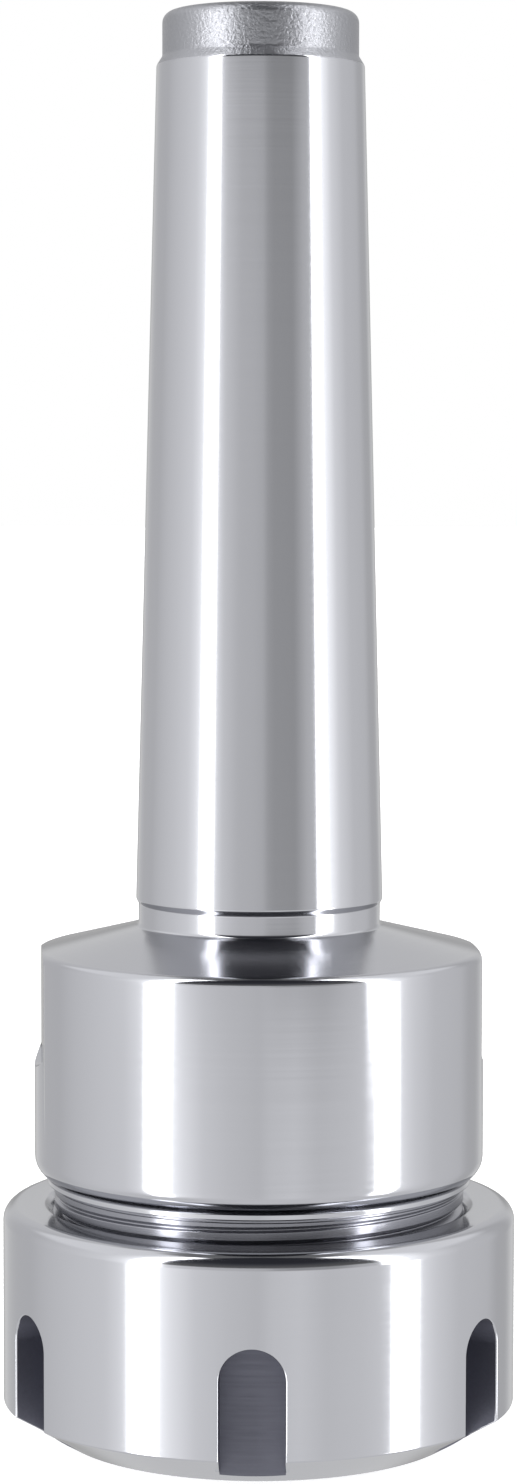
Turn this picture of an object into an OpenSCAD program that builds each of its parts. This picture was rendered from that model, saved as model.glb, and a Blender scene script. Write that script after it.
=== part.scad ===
// Collet chuck holder with a self-holding taper shank, in millimetres.
// The body is one turned and ground piece: taper shank, neck, head and threaded nose.
// A slotted nut screws onto the nose and pushes a slit spring collet into the cone inside.
// The common axis is Z. The front face of the nut stands on Z = 0 and the shank points up.

/* [Thread between nut and nose] */
// Outer diameter of the thread
thread_d = 40; // [39:0.5:42]
// Rise of the thread in one turn
thread_pitch = 1.5; // [1:0.25:2]
// Gap between the crests of one thread and the roots of the other
thread_clearance = 0.1; // [0.05:0.05:0.2]
// Height of the plain band between the thread and the head
thread_end_h = 0.4; // [0.2:0.05:1.5]

/* [Nut] */
// Outer diameter of the nut
nut_d = 50; // [45:0.5:60]
// Height of the nut
nut_h = 22.5; // [21:0.5:28]
// Radius of the rounded top edge
nut_top_round = 1.55; // [0.5:0.05:2]
// Width of the front bevel, across the axis
nut_bevel_w = 5.3; // [2:0.1:5.6]
// Height of the front bevel, along the axis
nut_bevel_h = 3.2; // [1:0.1:5]
// Chamfer at the mouth of the nut's thread
nut_mouth_chamfer = 0.8; // [0.2:0.1:1.2]
// Turn of the nut about the axis, in degrees
nut_angle = -1.4; // [-30:0.1:30]
// Number of spanner slots
slot_count = 6; // [4:1:8]
// Width of a spanner slot
slot_w = 6.15; // [4:0.05:8]
// Height of a spanner slot, from the front face to the top of its arch
slot_h = 13.7; // [9:0.1:16]
// Depth of a spanner slot; another nut diameter changes it, and keeps the wall behind the slot
slot_depth = 3.8; // [2:0.1:4]

/* [Head] */
// Free gap between the top of the nut and the underside of the head
nut_gap = 2.2; // [1:0.1:4]
// Diameter of the head
head_d = 43.8; // [43.2:0.1:48]
// Height of the head, from its underside to its top edge
head_h = 22.6; // [21:0.1:28]
// Height of the plain band at the underside, below the chamfer
head_band_h = 0.6; // [0.2:0.1:1.5]
// Width of the chamfer above that band, across the axis
head_chamfer_w = 1.2; // [0.3:0.1:1.5]
// Height of the chamfer, along the axis
head_chamfer_h = 1.1; // [0.3:0.1:3]
// Radius of the rounded top edge
head_round = 0.85; // [0.2:0.05:1.5]
// Height of the shallow cone on top of the head
shoulder_h = 2.5; // [1:0.1:4]

/* [Spanner flats on the head] */
// Distance between the two flats
flats_across = 42.3; // [41:0.1:42.6]
// Length of a flat, from the top edge of the head to the end of its round run-out
flat_len = 11.2; // [8:0.1:15]
// Radius of the round run-out of a flat
flat_run_out_r = 13; // [7:0.5:14]
// Turn of the flats about the axis, in degrees
flats_angle = 4.5; // [-30:0.05:30]

/* [Shank] */
// Diameter of the neck between head and taper
neck_d = 23.5; // [22:0.1:23.6]
// Height of the neck
neck_h = 2.1; // [1:0.1:4]
// Radius of the fillet at the foot of the neck
neck_fillet = 1.2; // [0.2:0.1:1.2]
// Diameter of the taper at its gauge line
gauge_d = 23.825; // [23.6:0.005:24.2]
// Height of the gauge line above the shoulder
gauge_offset = 5.7; // [4:0.1:8]
// Length in which the taper's diameter falls by 1
taper_ratio = 19.922; // [19:0.001:21]
// Length of the taper, with the small chamfer at its large end
taper_len = 80.5; // [70:0.5:90]
// Height of the chamfer at the large end of the taper
taper_chamfer_h = 0.45; // [0.2:0.05:0.8]
// Height of the rounded step at the small end of the taper
tail_step_h = 0.9; // [0.5:0.1:1.5]
// Diameter of the plain tail end
tail_d = 18.84; // [18:0.02:19]
// Length of the plain tail end
tail_len = 4.2; // [3:0.1:8]
// Radius of the rounded edge of the tail end
tail_round = 1.05; // [0.5:0.05:2]

/* [Bores in the body] */
// Core diameter of the drawbar thread in the tail end
drawbar_core_d = 10.2; // [9.5:0.1:11]
// Length of the drawbar thread below its countersink
drawbar_thread_len = 26; // [20:1:32]
// Diameter of the countersink of the drawbar thread at the tail face
countersink_d = 12.6; // [12:0.1:14]
// Half angle of the countersink, in degrees
countersink_angle = 30; // [25:1:45]
// Diameter of the hole between the pocket and the drawbar thread
through_d = 9; // [6:0.1:9.4]
// Length that the inner cone runs on behind the collet
socket_run_on = 1; // [0.5:0.1:2]
// Step from the end of the inner cone down to the pocket's wall
pocket_step = 0.2; // [0.1:0.1:1]
// Depth of the pocket behind the inner cone
pocket_depth = 4; // [2:0.1:4.5]
// Half angle of the pocket's drilled end, in degrees
drill_angle = 59; // [45:1:75]

/* [Collet] */
// Largest diameter of the collet, at its rim
collet_d = 33; // [32.5:0.1:33.6]
// Length of the collet
collet_len = 40; // [37:0.5:40.5]
// Diameter of the hole that grips the tool
collet_bore_d = 16; // [6:0.5:18]
// Half angle of the long back cone, in degrees
back_angle = 8; // [7.5:0.1:8.5]
// Half angle of the front cone, in degrees
front_angle = 30; // [28:0.5:31]
// Height of the front cone
front_cone_h = 3.8; // [3.4:0.1:4.2]
// Diameter of the front face
collet_face_d = 28; // [27:0.1:28.4]
// Width of the groove that the nut's lip pulls on
groove_w = 2.6; // [2:0.1:3]
// Diameter at the bottom of the groove
groove_d = 29.2; // [28:0.1:29.6]
// Height of the cylindrical rim behind the groove
rim_h = 0.8; // [0.4:0.1:1.2]
// Number of slits cut from each end
slit_count = 8; // [6:1:10]
// Width of a slit
slit_w = 1; // [0.6:0.1:1.2]
// Length of the bridge left at the end of each slit
slit_bridge = 5; // [3:0.5:7]
// Chamfer at both ends of the grip hole
collet_bore_chamfer = 0.5; // [0.2:0.1:1]
// Depth of the collet's front face behind the nut's front face
collet_recess = 0.4; // [0.2:0.1:0.8]

/* [Fits] */
// Gap between the collet and the two cones that hold it
cone_clearance = 0.06; // [0.04:0.01:0.1]
// Gap between the nut's lip and each side of the collet's groove
lip_clearance = 0.2; // [0.15:0.05:0.3]
// How far the lip's hole lies off the axis
lip_offset = 0.7; // [0.5:0.1:0.9]
// Smallest gap between the lip and the bottom of the groove
lip_root_gap = 0.5; // [0.3:0.1:0.7]
// Gap between the rim of the collet and the wall of the nut's chamber
chamber_gap = 0.9; // [0.5:0.1:1.5]
// Height between the rim of the collet and the nose of the body
nose_gap = 0.8; // [0.5:0.1:1.5]
// Height between the nose of the body and the floor of the nut's thread
nose_end_gap = 1; // [0.5:0.1:1.1]
// Chamfer at the end of the nose
nose_chamfer = 0.6; // [0.2:0.1:1]

/* [Hidden] */

// Fineness of the round surfaces
$fn = 96;
// Segments in each small rounded edge
arc_steps = 6;
// How far a cut runs past the surface it opens
cut_over = 1;
// Overlap that joins two cuts into one
cut_join = 0.01;

nut_r = nut_d / 2;
head_r = head_d / 2;
neck_r = neck_d / 2;
tail_r = tail_d / 2;
rim_r = collet_d / 2;
face_r = collet_face_d / 2;
groove_r = groove_d / 2;

// Angle between a thread flank and the plane across the axis
flank_angle = 30;
// Depth of a 60 degree metric thread as a share of its pitch
thread_depth = 0.6134 * thread_pitch;
thread_r = thread_d / 2;
nose_root_r = thread_r - thread_depth;
nut_root_r = thread_r + thread_clearance;

// Wall outside the thread root that slot_depth is measured in
slot_wall = 4.9;
slot_floor_r = nut_root_r + slot_wall - slot_depth;

// Heights on the collet, from its front face to its back
front_cone_top_z = collet_recess + front_cone_h;
groove_top_z = front_cone_top_z + groove_w;
rim_top_z = groove_top_z + rim_h;
collet_top_z = collet_recess + collet_len;
front_cone_top_r = face_r + front_cone_h * tan(front_angle);

// Heights on the body, from its nose to its tail
nose_z = rim_top_z + nose_gap;
head_z = nut_h + nut_gap;
thread_end_z = head_z - thread_end_h;
head_top_z = head_z + head_h;
shoulder_z = head_top_z + shoulder_h;
taper_z = shoulder_z + neck_h;
taper_edge_z = taper_z + taper_chamfer_h;
taper_top_z = taper_z + taper_len;
tail_z = taper_top_z + tail_step_h;
tail_top_z = tail_z + tail_len;
socket_top_z = collet_top_z + socket_run_on;
pocket_top_z = socket_top_z + pocket_depth;

// Radius of the taper shank at a height
function taper_r(z) = gauge_d / 2 - (z - shoulder_z - gauge_offset) / taper_ratio / 2;

// Radius of the collet's back cone at a height
function back_cone_r(z) = rim_r - (z - rim_top_z) * tan(back_angle);

// Gap across the axis that leaves the cone clearance square to a cone of this half angle
function cone_gap(angle) = cone_clearance / cos(angle);

// Points on an arc in the profile plane, from angle a0 to angle a1
function arc(r, z, radius, a0, a1) =
    [for (i = [0 : arc_steps]) let (a = a0 + (a1 - a0) * i / arc_steps)
        [r + radius * cos(a), z + radius * sin(a)]];

// Slope of the shallow cone on the head, in degrees
shoulder_slope = atan(shoulder_h / (head_r - neck_r));
// Length that the rounded head edge and the neck fillet take from each side of their corners
head_round_run = head_round * tan((90 - shoulder_slope) / 2);
neck_fillet_run = neck_fillet * tan((90 - shoulder_slope) / 2);

// Outside of the body as half of its lengthwise section
body_outline = concat(
    [
        [0, nose_z],
        [nose_root_r - nose_chamfer, nose_z],
        [nose_root_r, nose_z + nose_chamfer],
        [nose_root_r, thread_end_z - thread_depth * tan(flank_angle)],
        [thread_r, thread_end_z],
        [thread_r, head_z],
        [head_r - head_chamfer_w, head_z],
        [head_r - head_chamfer_w, head_z + head_band_h],
        [head_r, head_z + head_band_h + head_chamfer_h]
    ],
    arc(head_r - head_round, head_top_z - head_round_run, head_round, 0, 90 - shoulder_slope),
    arc(neck_r + neck_fillet, shoulder_z + neck_fillet_run, neck_fillet, 270 - shoulder_slope, 180),
    [
        [neck_r, taper_z],
        [taper_r(taper_edge_z), taper_edge_z],
        [taper_r(taper_top_z), taper_top_z],
        [tail_r, tail_z]
    ],
    arc(tail_r - tail_round, tail_top_z - tail_round, tail_round, 0, 90),
    [[0, tail_top_z]]
);

// Radius of the inner cone of the body at a height, and of the pocket behind it
function socket_r(z) = back_cone_r(z) + cone_gap(back_angle);
pocket_r = socket_r(socket_top_z) - pocket_step;

// Inside of the body: the cone for the collet, then the pocket and its drilled end
socket_outline = [
    [0, nose_z - cut_over],
    [socket_r(nose_z - cut_over), nose_z - cut_over],
    [socket_r(socket_top_z), socket_top_z],
    [pocket_r, socket_top_z],
    [pocket_r, pocket_top_z],
    [0, pocket_top_z + pocket_r / tan(drill_angle)]
];

// One spanner flat, as the block that is milled away outside it
module flat_cut() {
    run_out_z = head_top_z - flat_len + flat_run_out_r;
    translate([flats_across / 2, 0, 0])
        rotate([90, 0, 90])
            linear_extrude(head_r)
                union() {
                    translate([0, run_out_z]) circle(r = flat_run_out_r);
                    translate([-flat_run_out_r, run_out_z])
                        square([2 * flat_run_out_r, shoulder_z - run_out_z + cut_over]);
                }
}

// The hole through the shank: drawbar thread core with its countersink, and the plain hole below
module shank_bore() {
    core_r = drawbar_core_d / 2;
    sink_r = countersink_d / 2;
    sink_h = (sink_r - core_r) / tan(countersink_angle);
    core_top_z = tail_top_z - sink_h;
    core_z = core_top_z - drawbar_thread_len;
    rotate_extrude()
        polygon([
            [0, collet_top_z],
            [through_d / 2, collet_top_z],
            [through_d / 2, core_z - (core_r - through_d / 2) / tan(drill_angle)],
            [core_r, core_z],
            [core_r, core_top_z],
            [sink_r, tail_top_z],
            [sink_r, tail_top_z + cut_over],
            [0, tail_top_z + cut_over]
        ]);
}

module chuck_body() {
    color("gainsboro")
        difference() {
            rotate_extrude() polygon(body_outline);
            rotate_extrude() polygon(socket_outline);
            shank_bore();
            for (side = [0, 180])
                rotate([0, 0, flats_angle + side]) flat_cut();
        }
}

// The lip hole just clears the bottom of the groove on its near side
lip_r = groove_r + lip_root_gap + lip_offset;
lip_z = front_cone_top_z + lip_clearance;
lip_top_z = groove_top_z - lip_clearance;
chamber_r = rim_r + chamber_gap;
thread_floor_z = nose_z - nose_end_gap;

// Radius of the nut's front cone at a height
function nut_cone_r(z) = face_r + (z - collet_recess) * tan(front_angle) + cone_gap(front_angle);

// Outside of the nut as half of its lengthwise section
nut_outline = concat(
    [
        [0, 0],
        [nut_r - nut_bevel_w, 0],
        [nut_r, nut_bevel_h]
    ],
    arc(nut_r - nut_top_round, nut_h - nut_top_round, nut_top_round, 0, 90),
    [[0, nut_h]]
);

// Front opening of the nut, up to the lip
nut_front_cut = [
    [0, -cut_over],
    [nut_cone_r(0), -cut_over],
    [nut_cone_r(0), 0],
    [nut_cone_r(lip_z), lip_z],
    [0, lip_z]
];

// Chamber above the lip and the root of the inner thread
nut_back_cut = [
    [0, lip_top_z],
    [chamber_r, lip_top_z],
    [chamber_r, thread_floor_z],
    [nut_root_r, thread_floor_z],
    [nut_root_r, nut_h - nut_mouth_chamfer],
    [nut_root_r + nut_mouth_chamfer, nut_h],
    [nut_root_r + nut_mouth_chamfer, nut_h + cut_over],
    [0, nut_h + cut_over]
];

// One U-shaped spanner slot, cut in from the front (-Y) side of the nut
module slot_cut() {
    slot_r = slot_w / 2;
    translate([0, -slot_floor_r, 0])
        rotate([90, 0, 0])
            linear_extrude(nut_r - slot_floor_r + cut_over)
                union() {
                    translate([0, slot_h - slot_r]) circle(r = slot_r);
                    translate([-slot_r, -cut_over])
                        square([slot_w, slot_h - slot_r + cut_over]);
                }
}

module clamping_nut() {
    color("silver")
        rotate([0, 0, nut_angle])
            difference() {
                rotate_extrude() polygon(nut_outline);
                rotate_extrude() polygon(nut_front_cut);
                rotate_extrude() polygon(nut_back_cut);
                translate([lip_offset, 0, lip_z - cut_join])
                    cylinder(r = lip_r, h = lip_top_z - lip_z + 2 * cut_join);
                for (i = [0 : slot_count - 1])
                    rotate([0, 0, i * 360 / slot_count]) slot_cut();
            }
}

// Outside of the collet as half of its lengthwise section
collet_outline = [
    [0, collet_recess],
    [face_r, collet_recess],
    [front_cone_top_r, front_cone_top_z],
    [groove_r, front_cone_top_z],
    [groove_r, groove_top_z],
    [rim_r, groove_top_z],
    [rim_r, rim_top_z],
    [back_cone_r(collet_top_z), collet_top_z],
    [0, collet_top_z]
];

// Grip hole of the collet, with a chamfer at each end
grip_hole_outline = [
    [0, collet_recess - cut_over],
    [collet_bore_d / 2 + collet_bore_chamfer, collet_recess - cut_over],
    [collet_bore_d / 2 + collet_bore_chamfer, collet_recess],
    [collet_bore_d / 2, collet_recess + collet_bore_chamfer],
    [collet_bore_d / 2, collet_top_z - collet_bore_chamfer],
    [collet_bore_d / 2 + collet_bore_chamfer, collet_top_z],
    [collet_bore_d / 2 + collet_bore_chamfer, collet_top_z + cut_over],
    [0, collet_top_z + cut_over]
];

// A ring of slits that start at one height and all have the same length
module slit_ring(start_z, angle) {
    for (i = [0 : slit_count - 1])
        rotate([0, 0, angle + i * 360 / slit_count])
            translate([0, -slit_w / 2, start_z])
                cube([rim_r + cut_over, slit_w, collet_len - slit_bridge + cut_over]);
}

module collet() {
    color("lightslategray")
        difference() {
            rotate_extrude() polygon(collet_outline);
            rotate_extrude() polygon(grip_hole_outline);
            slit_ring(collet_recess - cut_over, 0);
            slit_ring(collet_recess + slit_bridge, 180 / slit_count);
        }
}

chuck_body();
clamping_nut();
collet();
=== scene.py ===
import math

import bmesh
import bpy
from mathutils import Matrix, Vector


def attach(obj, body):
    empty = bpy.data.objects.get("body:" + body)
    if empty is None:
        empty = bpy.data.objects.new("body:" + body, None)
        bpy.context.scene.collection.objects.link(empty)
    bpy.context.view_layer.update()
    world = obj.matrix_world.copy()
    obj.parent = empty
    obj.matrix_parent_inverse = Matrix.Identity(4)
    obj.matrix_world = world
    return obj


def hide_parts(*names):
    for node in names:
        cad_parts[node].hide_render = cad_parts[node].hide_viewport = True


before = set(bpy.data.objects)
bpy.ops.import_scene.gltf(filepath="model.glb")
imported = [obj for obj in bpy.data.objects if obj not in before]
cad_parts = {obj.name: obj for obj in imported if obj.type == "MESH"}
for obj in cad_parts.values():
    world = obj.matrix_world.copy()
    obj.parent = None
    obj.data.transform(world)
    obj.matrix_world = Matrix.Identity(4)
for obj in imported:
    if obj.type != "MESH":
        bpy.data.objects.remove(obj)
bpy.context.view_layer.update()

# One millimetre in Blender's metres
MM = 0.001

# Sizes of the clamping nut in millimetres, as in the part's source
NUT_R = 25.0
NUT_H = 22.5
NUT_TOP_ROUND = 1.55
NUT_BEVEL_W = 5.3
NUT_BEVEL_H = 3.2
NUT_MOUTH_CHAMFER = 0.8
NUT_ANGLE = -1.4
SLOT_COUNT = 6
SLOT_W = 6.15
SLOT_H = 13.7
SLOT_FLOOR_R = 21.2
FRONT_HOLE_R = 13.838
LIP_Z = 4.4
LIP_TOP_Z = 6.6
FRONT_CONE_TOP_R = 16.379
LIP_R = 15.8
LIP_OFFSET = 0.7
# The lip is turned this narrow, before its hole is cut off the axis
LIP_INNER_R = 14.6
CHAMBER_R = 17.4
THREAD_FLOOR_Z = 7.4

# Sizes of the 40 x 1.5 mm thread, whose flanks stand at 60 degrees to each other
THREAD_PITCH = 1.5
THREAD_R = 20.0
THREAD_DEPTH = 0.92
NUT_ROOT_R = 20.1
NOSE_THREAD_Z = 9.0
NOSE_THREAD_TOP_Z = 24.3
NUT_THREAD_TOP_Z = 21.7
FLANK_RISE = math.tan(math.radians(30))

# Sizes of the body, as in the part's source but for the fillet of the neck
NOSE_Z = 8.4
NOSE_CHAMFER = 0.6
HEAD_Z = 24.7
HEAD_BAND_H = 0.6
HEAD_CHAMFER_W = 1.2
HEAD_CHAMFER_H = 1.1
HEAD_R = 21.9
HEAD_TOP_Z = 47.3
HEAD_ROUND = 0.85
SHOULDER_Z = 49.8
NECK_R = 11.75
# The photo's neck meets the shoulder with less of a fillet than the 1.2 mm of the source
NECK_FILLET = 0.45
TAPER_Z = 51.9
TAPER_EDGE_Z = 52.35
TAPER_TOP_Z = 132.4
GAUGE_Z = 55.5
GAUGE_R = 11.9125
TAPER_RATIO = 19.922
TAIL_Z = 133.3
TAIL_TOP_Z = 137.5
TAIL_R = 9.42
TAIL_ROUND = 1.05
FLATS_ACROSS = 42.3
FLAT_LEN = 11.2
FLAT_RUN_OUT_R = 13.0
FLATS_ANGLE = 4.5

# Sizes of the bores in the body
SOCKET_MOUTH_R = 16.448
SOCKET_TOP_R = 11.81
SOCKET_TOP_Z = 41.4
POCKET_R = 11.61
POCKET_TOP_Z = 45.4
DRILLED_END_Z = 49.672
THROUGH_R = 4.5
DRAWBAR_CORE_R = 5.1
DRAWBAR_START_Z = 109.061
DRAWBAR_CORE_Z = 109.421
DRAWBAR_TOP_Z = 135.421
COUNTERSINK_R = 6.3

# Sizes of the 12 x 1.75 mm drawbar thread, with half the width of a crest
DRAWBAR_ROOT_R = 6.0
DRAWBAR_PITCH = 1.75
DRAWBAR_CREST_HALF = 0.219

# Turned corners are broken this far from the corner, but take no more than a share of a short side
TURNED_EDGE = 0.15
EDGE_SHARE = 0.4
EDGE_STEPS = 4
# The upper corner of the head's chamfer is polished rounder than the rest
CHAMFER_EDGE = 0.95
# Steps of one turn of the lathe, and of the larger rounds
LATHE_STEPS = 240
ROUND_STEPS = 8
NUT_ROUND_STEPS = 10
# A corner that turns by more than this is a real edge
EDGE_ANGLE = math.radians(26)
# Corners this close, in metres, are one. The seams of a wound piece meet less exactly.
SAME_POINT = 1e-7
SAME_SEAM = 2e-6


def new_object(name, bm):
    """Turns a bmesh into an object of the scene with smooth faces."""
    bmesh.ops.recalc_face_normals(bm, faces=bm.faces)
    mesh = bpy.data.meshes.new(name)
    bm.to_mesh(mesh)
    bm.free()
    mesh.shade_smooth()
    made = bpy.data.objects.new(name, mesh)
    bpy.context.scene.collection.objects.link(made)
    return made


def verts_of(geom):
    """The corners among the parts that a mesh operator gives back."""
    return [part for part in geom if isinstance(part, bmesh.types.BMVert)]


def drawn(bm, points, closed):
    """Draws a section in the XZ plane from radius and height in millimetres."""
    corners = [bm.verts.new((r * MM, 0, z * MM)) for r, z in points]
    ends = corners[1:] + corners[:1] if closed else corners[1:]
    return corners + [bm.edges.new(pair) for pair in zip(corners, ends)]


def turned(points):
    """Spins a closed section once round the Z axis, as a lathe does."""
    bm = bmesh.new()
    bmesh.ops.spin(
        bm, geom=drawn(bm, points, closed=True), cent=(0, 0, 0), axis=(0, 0, 1),
        angle=math.tau, steps=LATHE_STEPS, use_merge=True,
    )
    return bm


def arc(r, z, radius, start, end, steps):
    """Points on a rounded edge in the section plane, with angles in degrees."""
    turns = [math.radians(start + (end - start) * i / steps) for i in range(steps + 1)]
    return [(r + radius * math.cos(a), z + radius * math.sin(a)) for a in turns]


def eased(points, size, wide=None):
    """A closed section with a small round at each sharp corner, and a wide one where named."""
    made = []
    for before, corner, after in zip(points[-1:] + points[:-1], points, points[1:] + points[:1]):
        back = (before[0] - corner[0], before[1] - corner[1])
        ahead = (after[0] - corner[0], after[1] - corner[1])
        cross = back[0] * ahead[1] - back[1] * ahead[0]
        along = back[0] * ahead[0] + back[1] * ahead[1]
        if math.pi - abs(math.atan2(cross, along)) < EDGE_ANGLE:
            made.append(corner)
            continue
        back_len = math.hypot(*back)
        ahead_len = math.hypot(*ahead)
        reach = (wide or {}).get(corner, min(size, EDGE_SHARE * back_len, EDGE_SHARE * ahead_len))
        near = [reach / back_len * part for part in back]
        far = [reach / ahead_len * part for part in ahead]
        for i in range(EDGE_STEPS + 1):
            a = (1 - i / EDGE_STEPS) ** 2
            b = (i / EDGE_STEPS) ** 2
            made.append((corner[0] + a * near[0] + b * far[0], corner[1] + a * near[1] + b * far[1]))
    return made


def cut_away(piece, cutter):
    """Takes the cutter's shape out of a piece and removes the cutter."""
    change = piece.modifiers.new("cut", "BOOLEAN")
    change.operation = "DIFFERENCE"
    change.solver = "EXACT"
    change.object = cutter
    seen = piece.evaluated_get(bpy.context.evaluated_depsgraph_get())
    mesh = bpy.data.meshes.new_from_object(seen)
    piece.modifiers.clear()
    old = piece.data
    piece.data = mesh
    bpy.data.meshes.remove(old)
    bpy.data.objects.remove(cutter)


def shade_true(piece):
    """Smooth shading where the large faces set the normals and the small rounds turn between."""
    bm = bmesh.new()
    bm.from_mesh(piece.data)
    bmesh.ops.remove_doubles(bm, verts=bm.verts, dist=SAME_POINT)
    bm.to_mesh(piece.data)
    bm.free()
    piece.data.shade_smooth()
    piece.data.set_sharp_from_angle(angle=EDGE_ANGLE)
    shading = piece.modifiers.new("large_faces", "WEIGHTED_NORMAL")
    shading.mode = "FACE_AREA_WITH_ANGLE"
    shading.keep_sharp = True


def wound(points, pitch, turns, steps):
    """Winds an open section up the axis as a right-hand screw, each turn joined to the next."""
    bm = bmesh.new()
    bmesh.ops.spin(
        bm, geom=drawn(bm, points, closed=False), cent=(0, 0, 0), axis=(0, 0, 1),
        dvec=(0, 0, pitch / steps * MM), angle=math.tau, steps=steps,
    )
    one_turn = bm.verts[:] + bm.edges[:] + bm.faces[:]
    for i in range(1, turns):
        copied = bmesh.ops.duplicate(bm, geom=one_turn)["geom"]
        bmesh.ops.translate(bm, verts=verts_of(copied), vec=(0, 0, pitch * i * MM))
    bmesh.ops.remove_doubles(bm, verts=bm.verts, dist=SAME_SEAM)
    return bm


def push_out(vert, share):
    """Moves a corner away from the axis to this share of its radius."""
    vert.co.x *= share
    vert.co.y *= share


def closed_ring(bm, low_z, high_z, wall_r):
    """Cuts a wound surface flat at two heights and gives it a plain wall at the hidden side."""
    for height, up in ((low_z, -1), (high_z, 1)):
        bmesh.ops.bisect_plane(
            bm, geom=bm.verts[:] + bm.edges[:] + bm.faces[:], dist=SAME_POINT,
            plane_co=(0, 0, height * MM), plane_no=(0, 0, up), clear_outer=True,
        )
    rims = [e for e in bm.edges if e.is_boundary]
    made = bmesh.ops.extrude_edge_only(bm, edges=rims)["geom"]
    for vert in verts_of(made):
        push_out(vert, wall_r * MM / math.hypot(vert.co.x, vert.co.y))
    rims = [e for e in bm.edges if e.is_boundary]
    bmesh.ops.bridge_loops(bm, edges=rims)


# The camera stands where the photograph was taken from. Its place is in metres and its lens in
# millimetres, and it looks this many degrees down and leans this many to the side.
CAMERA_PLACE = (-0.0001, -0.34724, 0.09343)
CAMERA_DOWN = 4.268
CAMERA_LEAN = 0.096
LENS = 86.98
SENSOR = 36
NEAR_END = 0.01
FAR_END = 20

camera_data = bpy.data.cameras.new("camera")
camera_data.sensor_width = SENSOR
camera_data.lens = LENS
camera_data.clip_start = NEAR_END
camera_data.clip_end = FAR_END
camera = bpy.data.objects.new("camera", camera_data)
bpy.context.scene.collection.objects.link(camera)
tilt = Matrix.Rotation(math.radians(90 - CAMERA_DOWN), 4, "X")
roll = Matrix.Rotation(math.radians(CAMERA_LEAN), 4, "Z")
camera.matrix_world = Matrix.Translation(CAMERA_PLACE) @ tilt @ roll
bpy.context.scene.camera = camera


def linear(colour):
    """sRGB hex to the linear colour that shaders take."""
    parts = [int(colour[i : i + 2], 16) / 255 for i in (1, 3, 5)]
    lin = [p / 12.92 if p <= 0.04045 else ((p + 0.055) / 1.055) ** 2.4 for p in parts]
    return (*lin, 1.0)


def add_node(tree, kind, inputs=None, **settings):
    """Adds a node; each input is given a value or another node's output."""
    made = tree.nodes.new(kind)
    for name, value in settings.items():
        setattr(made, name, value)
    for key, value in (inputs or {}).items():
        if isinstance(value, bpy.types.NodeSocket):
            tree.links.new(value, made.inputs[key])
        else:
            made.inputs[key].default_value = value
    return made


def new_tree(name):
    """A material with an empty node tree."""
    material = bpy.data.materials.new(name)
    material.use_nodes = True
    material.node_tree.nodes.clear()
    return material, material.node_tree


# The noise that draws the tool marks: its finer layers, and the levels that most of it lies between
NOISE_DETAIL = 3.0
NOISE_ROUGHNESS = 0.6
NOISE_LOW = 0.3
NOISE_HIGH = 0.7
# A mark runs about a third of the way round before it fades, as it passes half a cell in a radian
MARK_TURN = 0.5
# A quarter turn lays the blur of what the steel mirrors across its marks
ACROSS_MARKS = 0.25
# One finish gives way to the next over this many millimetres of height
FINISH_CHANGE = 0.02
# Iron reflects a little less at its edges than a perfect mirror does
EDGE_TINT = "#E6E6E6"


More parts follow.
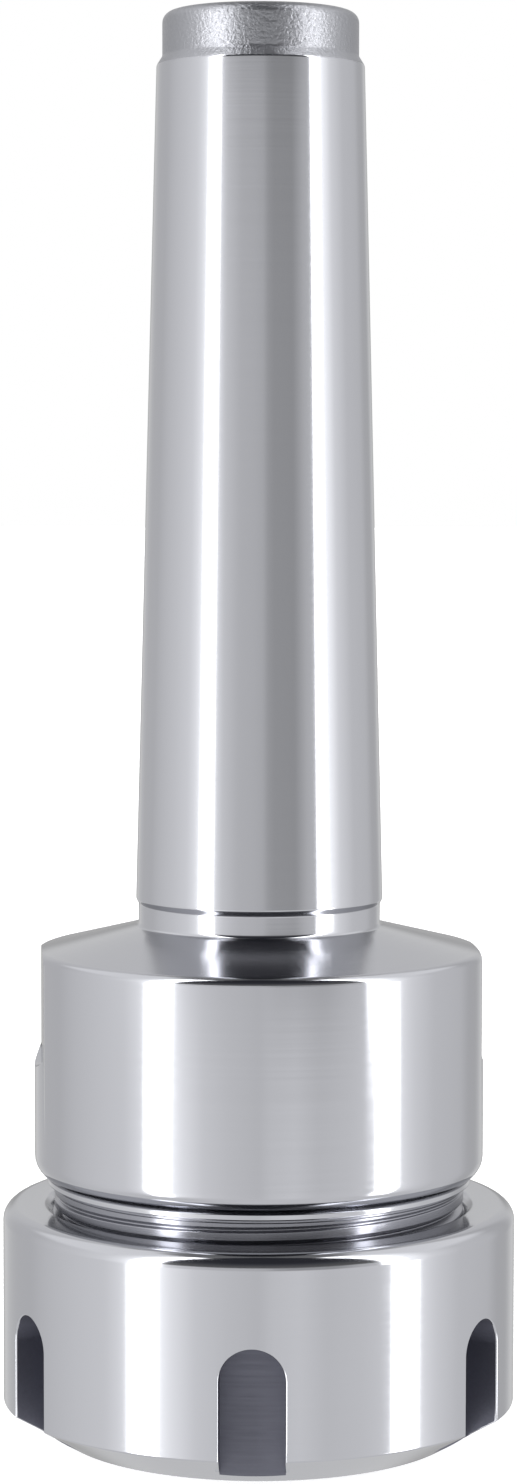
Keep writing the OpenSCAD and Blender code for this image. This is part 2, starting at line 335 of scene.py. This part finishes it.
def steel(name, *finishes):
    """Steel with fine tool marks that run round the axis.

    The marks follow radius and height, so they are rings on a cylinder and on a flat end.
    Each finish holds above its own height, and the first one holds from the bottom.
    """
    material, tree = new_tree(name)
    place = add_node(tree, "ShaderNodeTexCoord").outputs["Object"]
    parts = add_node(tree, "ShaderNodeSeparateXYZ", {0: place})
    flat = add_node(
        tree, "ShaderNodeVectorMath", {0: place, 1: (1, 1, 0)}, operation="MULTIPLY",
    )
    radius = add_node(tree, "ShaderNodeVectorMath", {0: flat.outputs[0]}, operation="LENGTH")
    angle = add_node(
        tree, "ShaderNodeMath", {0: parts.outputs["Y"], 1: parts.outputs["X"]}, operation="ARCTAN2",
    )
    # The direction of the marks: square to the radius, turned with the piece
    across = add_node(
        tree, "ShaderNodeVectorMath", {0: flat.outputs[0], 1: (0, 0, 1)}, operation="CROSS_PRODUCT",
    )
    around = add_node(
        tree, "ShaderNodeVectorTransform", {0: across.outputs[0]},
        vector_type="VECTOR", convert_from="OBJECT", convert_to="WORLD",
    )
    shown = None
    for finish in finishes:
        size = finish["mark_mm"] * MM
        slow = add_node(
            tree, "ShaderNodeMath", {0: angle.outputs[0], 1: size * MARK_TURN}, operation="MULTIPLY",
        )
        along = add_node(
            tree, "ShaderNodeCombineXYZ",
            {0: radius.outputs["Value"], 1: parts.outputs["Z"], 2: slow.outputs[0]},
        )
        grain = place if finish.get("blasted") else along.outputs[0]
        marks = add_node(
            tree, "ShaderNodeTexNoise",
            {"Vector": grain, "Scale": 1 / size, "Detail": NOISE_DETAIL,
             "Roughness": NOISE_ROUGHNESS},
        )
        rough_level = add_node(
            tree, "ShaderNodeMapRange",
            {"Value": marks.outputs[0], "From Min": NOISE_LOW, "From Max": NOISE_HIGH,
             "To Min": finish["rough"] - finish["vary"],
             "To Max": finish["rough"] + finish["vary"]},
        )
        bump = add_node(
            tree, "ShaderNodeBump",
            {"Strength": 1.0, "Distance": finish["height_mm"] * MM, "Height": marks.outputs[0]},
        )
        shader = add_node(
            tree, "ShaderNodeBsdfPrincipled",
            {"Base Color": linear(finish["colour"]), "Metallic": 1.0,
             "Roughness": rough_level.outputs[0], "Specular Tint": linear(EDGE_TINT),
             "Anisotropic": finish["stretch"], "Anisotropic Rotation": ACROSS_MARKS,
             "Tangent": around.outputs[0], "Normal": bump.outputs[0]},
        )
        if shown is None:
            shown = shader.outputs[0]
            continue
        start = finish["from_z"] * MM
        above = add_node(
            tree, "ShaderNodeMapRange",
            {"Value": parts.outputs["Z"], "From Min": start,
             "From Max": start + FINISH_CHANGE * MM},
        )
        both = add_node(
            tree, "ShaderNodeMixShader", {0: above.outputs[0], 1: shown, 2: shader.outputs[0]},
        )
        shown = both.outputs[0]
    add_node(tree, "ShaderNodeOutputMaterial", {0: shown})
    return material


# A cut thread keeps the fine scratches of its die, which blur along the axis what it mirrors
CUT = {
    "colour": "#92939A", "rough": 0.24, "vary": 0.04, "mark_mm": 0.15, "height_mm": 0.0006,
    "stretch": 0.9,
}
# The grinding wheel leaves rings about 0.2 mm apart, which blur the mirror only along the axis
GROUND = {
    "colour": "#B5B6BB", "rough": 0.11, "vary": 0.02, "mark_mm": 0.2, "height_mm": 0.0002,
    "stretch": 0.45,
}
# The lathe tool leaves deeper rings on the shoulder, which smear what it mirrors along the radius
TURNED = {**GROUND, "rough": 0.16, "stretch": 0.95}
# Blasted steel has a fine even grain, drawn here as coarse as a pixel or two of the picture, so
# that its sparkle shows
BLASTED = {
    "colour": "#9C9DA2", "rough": 0.36, "vary": 0.06, "mark_mm": 0.34, "height_mm": 0.07,
    "stretch": 0.0, "blasted": True,
}
# Spring steel is a little darker, with deeper grinding marks
SPRING = {
    "colour": "#A8A9AE", "rough": 0.2, "vary": 0.04, "mark_mm": 0.2, "height_mm": 0.0003,
    "stretch": 0.9,
}
# The milled slots keep the dull dark skin of hardening
SKIN = {
    "colour": "#797A85", "rough": 0.6, "vary": 0.05, "mark_mm": 0.3, "height_mm": 0.001,
    "stretch": 0.3,
}

# Heights where the body's finish changes: just above the head's underside, which is cut with the
# thread, at the shoulder's outer edge and at the foot of the neck
GROUND_FROM_Z = HEAD_Z + 0.01
TURNED_FROM_Z = HEAD_TOP_Z - 0.05
NECK_FROM_Z = SHOULDER_Z - 0.04

body_steel = steel(
    "ground_tool_steel", CUT, {**GROUND, "from_z": GROUND_FROM_Z},
    {**TURNED, "from_z": TURNED_FROM_Z}, {**GROUND, "from_z": NECK_FROM_Z},
    {**BLASTED, "from_z": TAPER_TOP_Z},
)
nut_steel = steel("polished_nut_steel", GROUND)
collet_steel = steel("ground_spring_steel", SPRING)
thread_steel = steel("cut_thread_steel", CUT)
slot_steel = steel("milled_oxide_steel", SKIN)


def taper_r(z):
    """The radius of the shank's taper at a height, both in millimetres."""
    return GAUGE_R - (z - GAUGE_Z) / TAPER_RATIO / 2


# The body is turned and bored in one piece, and then its two spanner flats are milled
shoulder_slope = math.atan((SHOULDER_Z - HEAD_TOP_Z) / (HEAD_R - NECK_R))
share_of_round = math.tan((math.pi / 2 - shoulder_slope) / 2)
tilt_deg = math.degrees(shoulder_slope)
sink_slope = (COUNTERSINK_R - DRAWBAR_CORE_R) / (TAIL_TOP_Z - DRAWBAR_TOP_Z)
flank_h = THREAD_DEPTH * FLANK_RISE
chamfer_corner = (HEAD_R, HEAD_Z + HEAD_BAND_H + HEAD_CHAMFER_H)
body_section = [
    (SOCKET_MOUTH_R, NOSE_Z),
    (THREAD_R - THREAD_DEPTH - NOSE_CHAMFER, NOSE_Z),
    (THREAD_R - THREAD_DEPTH, NOSE_Z + NOSE_CHAMFER),
    (THREAD_R - THREAD_DEPTH, NOSE_THREAD_TOP_Z - flank_h),
    (THREAD_R, NOSE_THREAD_TOP_Z),
    (THREAD_R, HEAD_Z),
    (HEAD_R - HEAD_CHAMFER_W, HEAD_Z),
    (HEAD_R - HEAD_CHAMFER_W, HEAD_Z + HEAD_BAND_H),
    chamfer_corner,
    *arc(
        HEAD_R - HEAD_ROUND, HEAD_TOP_Z - HEAD_ROUND * share_of_round, HEAD_ROUND,
        0, 90 - tilt_deg, ROUND_STEPS,
    ),
    *arc(
        NECK_R + NECK_FILLET, SHOULDER_Z + NECK_FILLET * share_of_round, NECK_FILLET,
        270 - tilt_deg, 180, ROUND_STEPS,
    ),
    (NECK_R, TAPER_Z),
    (taper_r(TAPER_EDGE_Z), TAPER_EDGE_Z),
    (taper_r(TAPER_TOP_Z), TAPER_TOP_Z),
    (TAIL_R, TAIL_Z),
    *arc(TAIL_R - TAIL_ROUND, TAIL_TOP_Z - TAIL_ROUND, TAIL_ROUND, 0, 90, ROUND_STEPS),
    (COUNTERSINK_R, TAIL_TOP_Z),
    (DRAWBAR_ROOT_R, TAIL_TOP_Z - (COUNTERSINK_R - DRAWBAR_ROOT_R) / sink_slope),
    (DRAWBAR_ROOT_R, DRAWBAR_CORE_Z),
    (DRAWBAR_CORE_R, DRAWBAR_CORE_Z),
    (THROUGH_R, DRAWBAR_START_Z),
    (THROUGH_R, DRILLED_END_Z),
    (POCKET_R, POCKET_TOP_Z),
    (POCKET_R, SOCKET_TOP_Z),
    (SOCKET_TOP_R, SOCKET_TOP_Z),
]
body_section = eased(body_section, TURNED_EDGE, {chamfer_corner: CHAMFER_EDGE})
body = new_object("chuck_body_finish", turned(body_section))
body.data.materials.append(body_steel)

# The cutter of a flat ends below in an arc of this many steps. It is this deep, and it reaches this
# far above the shoulder.
FLAT_STEPS = 60
FLAT_CUT_DEPTH = 2
FLAT_CUT_TOP = 1

flats = bmesh.new()
run_out_z = HEAD_TOP_Z - FLAT_LEN + FLAT_RUN_OUT_R
outline = arc(0, run_out_z, FLAT_RUN_OUT_R, 180, 360, FLAT_STEPS)
outline += [(side * FLAT_RUN_OUT_R, SHOULDER_Z + FLAT_CUT_TOP) for side in (1, -1)]
for turn in (0, 180):
    corners = [flats.verts.new((FLATS_ACROSS / 2 * MM, y * MM, z * MM)) for y, z in outline]
    pulled = bmesh.ops.extrude_face_region(flats, geom=[flats.faces.new(corners)])["geom"]
    moved = verts_of(pulled)
    bmesh.ops.translate(flats, verts=moved, vec=(FLAT_CUT_DEPTH * MM, 0, 0))
    bmesh.ops.rotate(
        flats, verts=corners + moved, cent=(0, 0, 0),
        matrix=Matrix.Rotation(math.radians(FLATS_ANGLE + turn), 3, "Z"),
    )
cut_away(body, new_object("flat_cutter", flats))
shade_true(body)
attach(body, "chuck_body")
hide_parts("chuck_body")

# The nut is turned first, and then its lip and its slots are cut
nut_section = [
    (FRONT_HOLE_R, 0),
    (NUT_R - NUT_BEVEL_W, 0),
    (NUT_R, NUT_BEVEL_H),
    *arc(NUT_R - NUT_TOP_ROUND, NUT_H - NUT_TOP_ROUND, NUT_TOP_ROUND, 0, 90, NUT_ROUND_STEPS),
    (NUT_ROOT_R + NUT_MOUTH_CHAMFER, NUT_H),
    (NUT_ROOT_R, NUT_H - NUT_MOUTH_CHAMFER),
    (NUT_ROOT_R, THREAD_FLOOR_Z),
    (CHAMBER_R, THREAD_FLOOR_Z),
    (CHAMBER_R, LIP_TOP_Z),
    (LIP_INNER_R, LIP_TOP_Z),
    (LIP_INNER_R, LIP_Z),
    (FRONT_CONE_TOP_R, LIP_Z),
]
nut = new_object("clamping_nut_finish", turned(eased(nut_section, TURNED_EDGE)))
nut.data.materials.append(nut_steel)
nut.data.materials.append(slot_steel)

# The cutter of the lip's hole has this many sides, and it is this much longer than the lip
LIP_STEPS = 160
LIP_CUT_SPARE = 0.02

lip_cut = bmesh.new()
bmesh.ops.create_cone(
    lip_cut, cap_ends=True, segments=LIP_STEPS, radius1=LIP_R * MM, radius2=LIP_R * MM,
    depth=(LIP_TOP_Z - LIP_Z + LIP_CUT_SPARE) * MM,
    matrix=Matrix.Translation((LIP_OFFSET * MM, 0, (LIP_TOP_Z + LIP_Z) / 2 * MM)),
)
cut_away(nut, new_object("lip_cutter", lip_cut))

# The mouth of a slot is rounded, and wider where the slot runs out on the front bevel
MOUTH_ROUND = 0.2
MOUTH_FLARE = 3.4
# The round turns this many degrees, and then the cutter widens and stands clear of the surface
MOUTH_TURN = 72
MOUTH_STEPS = 4
CUTTER_WIDEN = 0.1
CUTTER_CLEAR = 1.0
# Each ring of the cutter lies at least this much further out than the one inside it
RING_STEP = 0.04
# Heights along the two straight sides of a slot, from below the nut, and steps of its arch
SLOT_HEIGHTS = (-1, 0, 0.8, 1.6, 2.4, 3.2, 4.4)
ARCH_STEPS = 28


def slot_loop(widen, depth, clear):
    """The outline of a slot at a depth below the nut's surface, kept clear of the slot's floor."""
    half = SLOT_W / 2
    right = []
    for z in SLOT_HEIGHTS:
        flare = 1 + MOUTH_FLARE * min(max(1 - z / NUT_BEVEL_H, 0), 1)
        right.append((half + widen * flare, z))
    arch = arc(0, SLOT_H - half, half + widen, 0, 180, ARCH_STEPS)
    left = [(-x, z) for x, z in reversed(right)]
    corners = []
    for x, z in right + arch + left:
        surface = NUT_R - NUT_BEVEL_W * max(1 - z / NUT_BEVEL_H, 0)
        out = max(math.sqrt((surface - depth) ** 2 - x ** 2), SLOT_FLOOR_R + clear)
        corners.append((x * MM, -out * MM, z * MM))
    return corners


slots = bmesh.new()
rounding = [math.radians(MOUTH_TURN * i / MOUTH_STEPS) for i in range(MOUTH_STEPS + 1)]
mouth = [(MOUTH_ROUND * (1 - math.cos(a)), MOUTH_ROUND * (1 - math.sin(a))) for a in rounding]
mouth.append((mouth[-1][0] + CUTTER_WIDEN, -CUTTER_CLEAR))
for i in range(SLOT_COUNT):
    loop = [(x, -SLOT_FLOOR_R * MM, z) for x, y, z in slot_loop(0, 0, 0)]
    face = slots.faces.new([slots.verts.new(corner) for corner in loop])
    made = list(face.verts)
    for number, (widen, depth) in enumerate(mouth):
        pulled = bmesh.ops.extrude_face_region(slots, geom=[face])["geom"]
        if number:
            slots.faces.remove(face)
        face = next(f for f in pulled if isinstance(f, bmesh.types.BMFace))
        target = slot_loop(widen, depth, RING_STEP * (number + 1))
        for vert in face.verts:
            nearest = min(range(len(loop)), key=lambda k: (vert.co - Vector(loop[k])).length)
            vert.co = target[nearest]
        loop = target
        made += face.verts
        # The walls have the cutter's first material, and the rounded mouth has its second
        for side in (f for edge in face.edges for f in edge.link_faces):
            side.material_index = 1 if number else 0
    bmesh.ops.rotate(
        slots, verts=made, cent=(0, 0, 0),
        matrix=Matrix.Rotation(math.radians(i * 360 / SLOT_COUNT), 3, "Z"),
    )
slot_cutter = new_object("slot_cutter", slots)
slot_cutter.data.materials.append(slot_steel)
slot_cutter.data.materials.append(nut_steel)
cut_away(nut, slot_cutter)
nut.data.transform(Matrix.Rotation(math.radians(NUT_ANGLE), 4, "Z"))
shade_true(nut)
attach(nut, "clamping_nut")
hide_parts("clamping_nut")


def groove_points(bottom_r, bottom_half, top_r, steps, pitch=THREAD_PITCH):
    """One pitch of a thread section, from the middle of one groove to the middle of the next."""
    top_half = bottom_half + abs(top_r - bottom_r) * FLANK_RISE
    flank = [
        (
            bottom_r + (top_r - bottom_r) * i / steps,
            bottom_half + (top_half - bottom_half) * i / steps,
        )
        for i in range(steps + 1)
    ]
    far = [(r, pitch - z) for r, z in reversed(flank)]
    return [(bottom_r, 0), *flank, *far, (bottom_r, pitch)]


def soft_min(a, b, blend):
    """The smaller of two numbers, with a rounded change from one to the other."""
    share = min(max(0.5 + 0.5 * (b - a) / blend, 0.0), 1.0)
    return b + (a - b) * share - blend * share * (1 - share)


def thread_object(name, bm, sharp):
    """A wound piece of cut steel, whose edges are sharp past an angle in degrees."""
    made = new_object(name, bm)
    made.data.set_sharp_from_angle(angle=math.radians(sharp))
    made.data.materials.append(thread_steel)
    return made


# The middle of the last groove climbs past this height at azimuth 0, on the +X side
GROOVE_Z = 24.125
# The outer thread gets shallower between these heights, as the die leaves it below the head
RUN_OUT_Z = 21.6
RUN_OUT_END_Z = 24.4
# Half width of the flat at the bottom of a groove, and how softly a crest meets its flanks
ROOT_HALF = 0.125
CREST_ROUND = 0.06
# The bottom of a thread stands this much off the plain cylinder that carries it, and its end is
# sunk as much, so that the two never share a face
THREAD_SINK = 0.02
# Turns of each thread, and steps of one turn
NOSE_TURNS = 13
NOSE_STEPS = 144
NUT_TURNS = 12
NUT_STEPS = 120
DRAWBAR_TURNS = 17
DRAWBAR_STEPS = 72
# Steps of a flank: the nose's bends where the thread runs out, and the others are straight
BENT_STEPS = 14
STRAIGHT_STEPS = 3
# Radii of the threads' plain walls, which are hidden in the steel
NOSE_WALL_R = 18.9
NUT_WALL_R = NUT_ROOT_R + 0.4
DRAWBAR_WALL_R = DRAWBAR_ROOT_R + 0.3
# Edges of a thread that turn by more than this many degrees are shaded sharp
NOSE_SHARP = 75
INNER_SHARP = 50

nose_points = groove_points(THREAD_R - THREAD_DEPTH + THREAD_SINK, ROOT_HALF, THREAD_R, BENT_STEPS)
nose_section = [(r, z + GROOVE_Z - (NOSE_TURNS - 1) * THREAD_PITCH) for r, z in nose_points]
nose_bm = wound(nose_section, THREAD_PITCH, NOSE_TURNS, NOSE_STEPS)
for vert in nose_bm.verts:
    run_out = (vert.co.z / MM - RUN_OUT_Z) / (RUN_OUT_END_Z - RUN_OUT_Z)
    radius = math.hypot(vert.co.x, vert.co.y) / MM
    raised = radius + THREAD_DEPTH * min(max(run_out, 0.0), 1.0)
    push_out(vert, soft_min(raised, THREAD_R, CREST_ROUND) / radius)
closed_ring(nose_bm, NOSE_THREAD_Z, NOSE_THREAD_TOP_Z, NOSE_WALL_R)
nose_thread = thread_object("nose_thread", nose_bm, NOSE_SHARP)
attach(nose_thread, "chuck_body")

# The nut's thread fills the grooves of the nose, less a gap on each flank
FLANK_GAP = 0.06
NUT_CREST_R = 19.19
crest_half = ROOT_HALF + (NUT_CREST_R - THREAD_R + THREAD_DEPTH) * FLANK_RISE - FLANK_GAP
nut_points = groove_points(NUT_CREST_R, crest_half, NUT_ROOT_R - THREAD_SINK, STRAIGHT_STEPS)
winding = [(r, z + GROOVE_Z - (NUT_TURNS + 1) * THREAD_PITCH) for r, z in nut_points]
nut_bm = wound(winding, THREAD_PITCH, NUT_TURNS, NUT_STEPS)
closed_ring(nut_bm, THREAD_FLOOR_Z - THREAD_SINK, NUT_THREAD_TOP_Z, NUT_WALL_R)
nut_thread = thread_object("nut_thread", nut_bm, INNER_SHARP)
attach(nut_thread, "clamping_nut")

# The drawbar thread in the tail: its crests end on the cone of the countersink, and it is cut off
# just below the tail's top, where the crests have run out
DRAWBAR_END_Z = TAIL_TOP_Z - 0.6

groove_r = DRAWBAR_ROOT_R - THREAD_SINK
drawbar_points = groove_points(
    DRAWBAR_CORE_R, DRAWBAR_CREST_HALF, groove_r, STRAIGHT_STEPS, DRAWBAR_PITCH,
)
drawbar_section = [(r, z + DRAWBAR_START_Z - DRAWBAR_PITCH) for r, z in drawbar_points]
drawbar_bm = wound(drawbar_section, DRAWBAR_PITCH, DRAWBAR_TURNS, DRAWBAR_STEPS)
for vert in drawbar_bm.verts:
    radius = math.hypot(vert.co.x, vert.co.y) / MM
    sunk = DRAWBAR_CORE_R + (vert.co.z / MM - DRAWBAR_TOP_Z) * sink_slope
    push_out(vert, max(min(sunk, groove_r), radius) / radius)
closed_ring(drawbar_bm, DRAWBAR_CORE_Z - THREAD_SINK, DRAWBAR_END_Z, DRAWBAR_WALL_R)
drawbar_thread = thread_object("drawbar_thread", drawbar_bm, INNER_SHARP)
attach(drawbar_thread, "chuck_body")

# The collet is shown as it comes, as it has no fine rings that would need a finer mesh
cad_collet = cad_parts["collet"]
cad_collet.data.materials.clear()
cad_collet.data.materials.append(collet_steel)


def background_rays(tree):
    """1 for the rays that show a background: the camera's, mirrored ones and refracted ones."""
    path = add_node(tree, "ShaderNodeLightPath")
    mirrored = add_node(
        tree, "ShaderNodeMath",
        {0: path.outputs["Is Camera Ray"], 1: path.outputs["Is Glossy Ray"]}, operation="ADD",
    )
    seen = add_node(
        tree, "ShaderNodeMath",
        {0: mirrored.outputs[0], 1: path.outputs["Is Transmission Ray"]},
        operation="ADD", use_clamp=True,
    )
    return seen.outputs[0]


# The floor is a white sheet of matt board that reaches 6 m to each side. It shines a little where it
# is seen, so that it is plain white, but its glow lights nothing. Metal mirrors the studio instead.
FLOOR_REACH = 6.0
FLOOR_GLOW = 0.62
BOARD_COLOUR = "#F4F4F4"

floor_bm = bmesh.new()
bmesh.ops.create_grid(floor_bm, x_segments=1, y_segments=1, size=FLOOR_REACH)
floor = new_object("floor", floor_bm)
floor.visible_glossy = False
floor_paint, tree = new_tree("matt_white_board")
seen = background_rays(tree)
board = add_node(tree, "ShaderNodeBsdfDiffuse", {"Color": linear(BOARD_COLOUR)})
glow = add_node(tree, "ShaderNodeEmission", {"Color": (1, 1, 1, 1), "Strength": FLOOR_GLOW})
shown = add_node(tree, "ShaderNodeMixShader", {0: seen, 2: glow.outputs[0]})
both = add_node(tree, "ShaderNodeAddShader", {0: board.outputs[0], 1: shown.outputs[0]})
add_node(tree, "ShaderNodeOutputMaterial", {0: both.outputs[0]})
floor.data.materials.append(floor_paint)

# The studio: a white tent round the object, two upright soft boxes and the dark room behind
# the camera. Each table gives an angle from the camera's side, plus to the right, and the light.
TENT = {
    "upper": [
        (-180, 1.0), (-156, 0.98), (-140, 0.88), (-122, 0.86), (-108, 0.97), (-88, 1.1),
        (-72, 1.25), (-64, 1.5), (-58, 1.9), (-55, 7.5), (-46, 7.5), (-43, 1.5), (-35, 1.1),
        (-20, 0.89), (-5, 0.85), (3, 0.8), (8, 0.64), (14, 0.57), (34, 0.55), (46, 0.82),
        (55, 0.9), (57.5, 7.5), (64.5, 7.5), (67.5, 2.1), (74, 1.75), (82, 1.3), (100, 1.0),
        (124, 0.94), (134, 0.8), (146, 0.78), (156, 0.96), (180, 1.0),
    ],
    "lower": [
        (-180, 1.0), (-156, 0.98), (-140, 0.88), (-122, 0.86), (-108, 0.97), (-88, 1.08),
        (-72, 1.15), (-60.5, 1.45), (-58, 7.5), (-48, 7.5), (-45, 1.9), (-38, 1.53), (-28, 1.18),
        (-15, 1.04), (0, 0.95), (6, 1.06), (18, 1.13), (30, 1.0), (46, 1.05), (55, 1.12),
        (60.5, 1.25), (63.3, 7.5), (73, 7.5), (76, 1.5), (86, 1.2), (100, 1.0), (124, 0.94),
        (134, 0.8), (146, 0.78), (156, 0.96), (180, 1.0),
    ],
}
# A ramp holds levels up to 1, so the light goes in divided by this
PEAK = 8.0
# Heights on the unit sphere of directions, where one part of the studio gives way to the next
LOWER_RING = (-0.15, -0.132)
LOW_BACK = (0.22, 0.08)
DIM_FRONT = (0.172, 0.2)
DARK_ROOM = (0.3, 0.75)
CEILING = (0.78, 0.86)
ZENITH = (0.9, 0.96)
HIGH_SIDE = (0.35, 0.55)
WHITE_BOARD = (-0.6, -0.4)
# Angles in degrees over which a part ends. The space between the soft boxes is measured from its
# own middle, each side from straight left or right, and the back from the camera's side.
BOXES_MIDDLE = 5
BETWEEN_BOXES = (47, 51)
SIDES = (40, 54)
BACK = (158, 172)
# The light of each part
BACK_LIGHT = 0.55
FRONT_LIGHT = 0.16
ROOM_LIGHT = 0.05
CEILING_LIGHT = 0.25
HIGH_LIGHT = 1.25
BOARD_LIGHT = 1.0
# What little light the dark room gives is a bit blue
ROOM_TINT = "#E8ECFF"
# The share of the light that matt surfaces get
MATT_SHARE = 0.9

world = bpy.data.worlds.new("studio")
bpy.context.scene.world = world
world.use_nodes = True
tree = world.node_tree
tree.nodes.clear()
way = add_node(
    tree, "ShaderNodeSeparateXYZ", {0: add_node(tree, "ShaderNodeTexCoord").outputs["Generated"]},
)
to_camera = add_node(tree, "ShaderNodeMath", {0: way.outputs["Y"], 1: -1.0}, operation="MULTIPLY")
bearing = add_node(
    tree, "ShaderNodeMath", {0: way.outputs["X"], 1: to_camera.outputs[0]}, operation="ARCTAN2",
)
share = add_node(
    tree, "ShaderNodeMapRange",
    {"Value": bearing.outputs[0], "From Min": -math.pi, "From Max": math.pi},
)
rise = {}
for band, (low, high) in {
    "ring": LOWER_RING, "back": LOW_BACK, "front": DIM_FRONT, "room": DARK_ROOM,
    "ceiling": CEILING, "zenith": ZENITH, "board": WHITE_BOARD, "high": HIGH_SIDE,
}.items():
    rise[band] = add_node(
        tree, "ShaderNodeMapRange", {"Value": way.outputs["Z"], "From Min": low, "From Max": high},
        interpolation_type="SMOOTHSTEP",
    ).outputs[0]
levels = {}
for band, table in TENT.items():
    ramp = add_node(tree, "ShaderNodeValToRGB", {0: share.outputs[0]})
    stops = ramp.color_ramp.elements
    # A new ramp has its two end stops already
    for degrees, light in table[1:-1]:
        stops.new((degrees + 180) / 360)
    for stop, (degrees, light) in zip(stops, table):
        stop.color = (light / PEAK, light / PEAK, light / PEAK, 1)
    levels[band] = add_node(
        tree, "ShaderNodeMath", {0: ramp.outputs[0], 1: PEAK}, operation="MULTIPLY",
    ).outputs[0]

# The dark room shows above the camera between the soft boxes. The ceiling is dim, but for the
# two sides, where the boxes reach over the object.
spread = add_node(tree, "ShaderNodeMath", {0: bearing.outputs[0]}, operation="ABSOLUTE")
off_centre = add_node(
    tree, "ShaderNodeMath", {0: bearing.outputs[0], 1: math.radians(BOXES_MIDDLE)},
    operation="SUBTRACT",
)
from_centre = add_node(tree, "ShaderNodeMath", {0: off_centre.outputs[0]}, operation="ABSOLUTE")
between = add_node(
    tree, "ShaderNodeMapRange",
    {"Value": from_centre.outputs[0], "From Min": math.radians(BETWEEN_BOXES[0]),
     "From Max": math.radians(BETWEEN_BOXES[1]), "To Min": 1.0, "To Max": 0.0},
    interpolation_type="SMOOTHSTEP",
)
to_side = add_node(
    tree, "ShaderNodeMath", {0: spread.outputs[0], 1: math.pi / 2}, operation="SUBTRACT",
)
from_side = add_node(tree, "ShaderNodeMath", {0: to_side.outputs[0]}, operation="ABSOLUTE")
past_sides = add_node(
    tree, "ShaderNodeMapRange",
    {"Value": from_side.outputs[0], "From Min": math.radians(SIDES[0]),
     "From Max": math.radians(SIDES[1])},
    interpolation_type="SMOOTHSTEP",
)
at_sides = add_node(
    tree, "ShaderNodeMath", {0: 1.0, 1: past_sides.outputs[0]}, operation="SUBTRACT",
)
behind = add_node(
    tree, "ShaderNodeMapRange",
    {"Value": spread.outputs[0], "From Min": math.radians(BACK[0]),
     "From Max": math.radians(BACK[1])},
    interpolation_type="SMOOTHSTEP",
)

# Each step lays one part of the studio over the ones before it. The high sides only add light: they
# leave the soft boxes as bright as they are.
studio = levels["lower"]
masks = {"ring": rise["ring"], "zenith": rise["zenith"]}
for band, width in (
    ("back", behind), ("front", between), ("high", at_sides), ("ceiling", past_sides),
    ("room", between),
):
    masks[band] = add_node(
        tree, "ShaderNodeMath", {0: rise[band], 1: width.outputs[0]}, operation="MULTIPLY",
    ).outputs[0]
for band, part in (
    ("ring", levels["upper"]), ("back", BACK_LIGHT), ("high", HIGH_LIGHT), ("front", FRONT_LIGHT),
    ("ceiling", CEILING_LIGHT), ("zenith", CEILING_LIGHT), ("room", ROOM_LIGHT),
):
    if band == "high":
        part = add_node(
            tree, "ShaderNodeMath", {0: studio, 1: part}, operation="MAXIMUM",
        ).outputs[0]
    step = add_node(
        tree, "ShaderNodeMix", {0: masks[band], 2: studio, 3: part}, data_type="FLOAT",
    )
    studio = step.outputs[0]
# Well below the horizon the tent gives way to the white board
step = add_node(
    tree, "ShaderNodeMix", {0: rise["board"], 2: BOARD_LIGHT, 3: studio}, data_type="FLOAT",
)
studio = step.outputs[0]
tint = add_node(
    tree, "ShaderNodeMix", {0: masks["room"], 6: (1, 1, 1, 1), 7: linear(ROOM_TINT)},
    data_type="RGBA",
)

# The camera sees plain white. Metal sees the same white tent, with the boxes and the dark in it,
# and matt surfaces get a little less.
by_camera = add_node(tree, "ShaderNodeLightPath").outputs["Is Camera Ray"]
seen = background_rays(tree)
white = add_node(tree, "ShaderNodeMix", {0: seen, 2: MATT_SHARE, 3: 1.0}, data_type="FLOAT")
pattern = add_node(tree, "ShaderNodeMix", {0: by_camera, 2: studio, 3: 1.0}, data_type="FLOAT")
strength = add_node(
    tree, "ShaderNodeMath", {0: white.outputs[0], 1: pattern.outputs[0]}, operation="MULTIPLY",
)
colour = add_node(
    tree, "ShaderNodeMix", {0: by_camera, 6: tint.outputs[2], 7: (1, 1, 1, 1)}, data_type="RGBA",
)
sky = add_node(tree, "ShaderNodeBackground", {0: colour.outputs[2], 1: strength.outputs[0]})
add_node(tree, "ShaderNodeOutputWorld", {0: sky.outputs[0]})

bpy.context.scene.view_settings.view_transform = "Standard"
